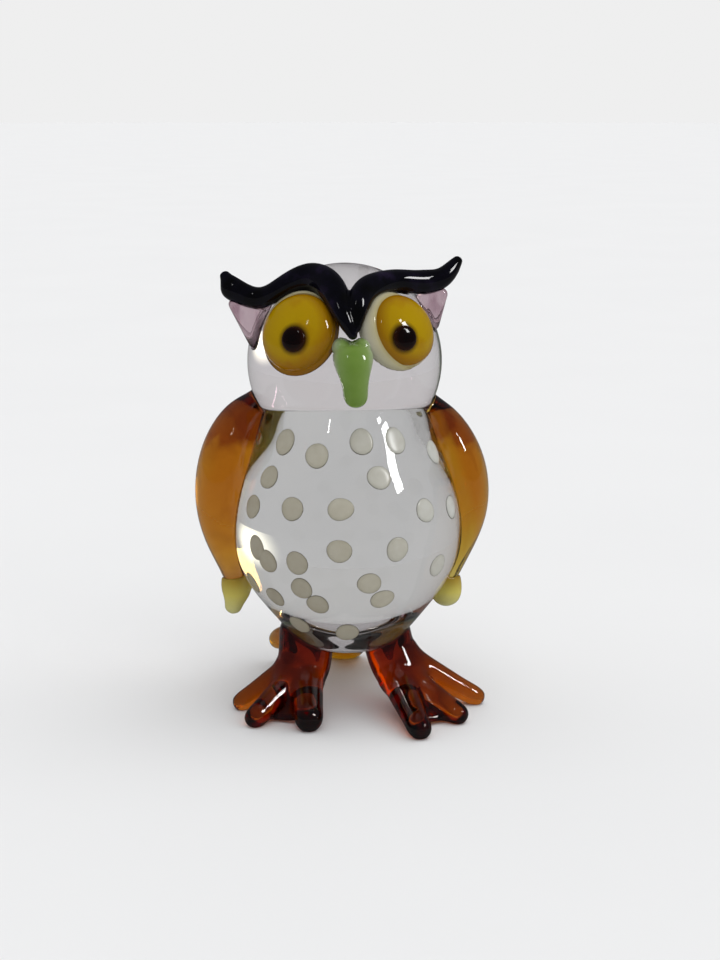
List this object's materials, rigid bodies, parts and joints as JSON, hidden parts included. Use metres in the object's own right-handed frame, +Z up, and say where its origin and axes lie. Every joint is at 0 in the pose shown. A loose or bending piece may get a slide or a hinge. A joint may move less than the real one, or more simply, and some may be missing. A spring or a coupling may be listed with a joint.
{
  "type": "owl figurine",
  "caption": "Small standing owl ornament in fused coloured glass: clear head and spotted egg-shaped body, domed eyes, dark brows, amber wings, toed feet and a supporting tail.",
  "frame": {"origin": "on the surface the owl stands on, under the middle of its bounding box", "axes": "+Z up, front of the owl towards -Y, +X to the right of someone who faces it"},
  "size_m": [0.037, 0.0329, 0.0559],
  "materials": {
    "clear_glass": "polished",
    "head_glass": "polished",
    "pink_glass": "polished",
    "amber_glass": "polished",
    "brown_amber_glass": "polished",
    "cream_glass": "polished",
    "yellow_glass": "polished",
    "dark_glass": "polished",
    "black_glass": "polished",
    "green_glass": "polished",
    "cream_enamel": "polished"
  },
  "bodies": {
    "root": {"body": "clear_glass", "belly_dots": "cream_enamel", "head": "head_glass", "eye_base_left": "cream_glass", "eye_base_right": "cream_glass", "iris_left": "yellow_glass", "iris_right": "yellow_glass", "pupil_left": "dark_glass", "pupil_right": "dark_glass", "beak": "green_glass", "ear_left": "pink_glass", "ear_right": "pink_glass", "brow_left": "black_glass", "brow_right": "black_glass", "wing_left": "amber_glass", "wing_right": "amber_glass", "wing_tip_left": "cream_glass", "wing_tip_right": "cream_glass", "leg_left": "brown_amber_glass", "leg_right": "brown_amber_glass", "toe_left_outer": "brown_amber_glass", "toe_left_middle": "brown_amber_glass", "toe_left_inner": "brown_amber_glass", "toe_right_outer": "brown_amber_glass", "toe_right_middle": "brown_amber_glass", "toe_right_inner": "brown_amber_glass", "tail_left": "amber_glass", "tail_middle": "amber_glass", "tail_right": "amber_glass"}
  },
  "joints": []
}
